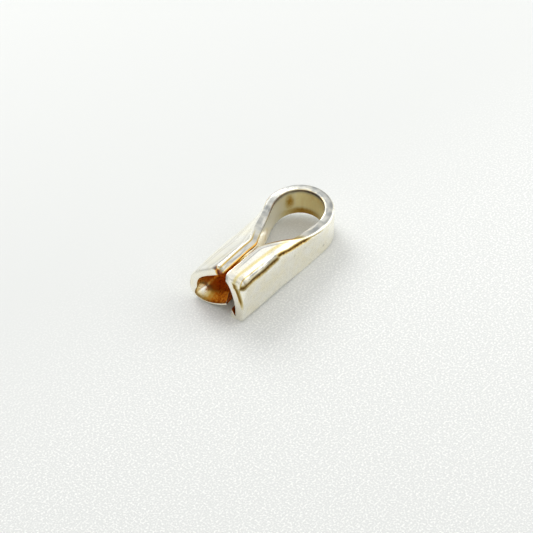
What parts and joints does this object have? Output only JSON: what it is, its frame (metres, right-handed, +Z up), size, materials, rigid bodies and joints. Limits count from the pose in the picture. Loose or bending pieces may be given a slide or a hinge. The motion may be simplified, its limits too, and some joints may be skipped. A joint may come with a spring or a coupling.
{
  "type": "jewellery end cap",
  "caption": "Folded silver end cap for a cord: a strip bent into an eye, with two facing troughs that are pressed shut on the cord.",
  "frame": {"origin": "middle of the box's base, on the surface that the end cap lies on", "axes": "+X runs from the open end to the eye, +Y to the leg with the taller lip, +Z up as the end cap lies"},
  "size_m": [0.0092, 0.0039, 0.0032],
  "materials": {
    "silver": "polished silver with light tarnish inside"
  },
  "bodies": {
    "root": {"folded_strip": "silver"}
  },
  "joints": []
}
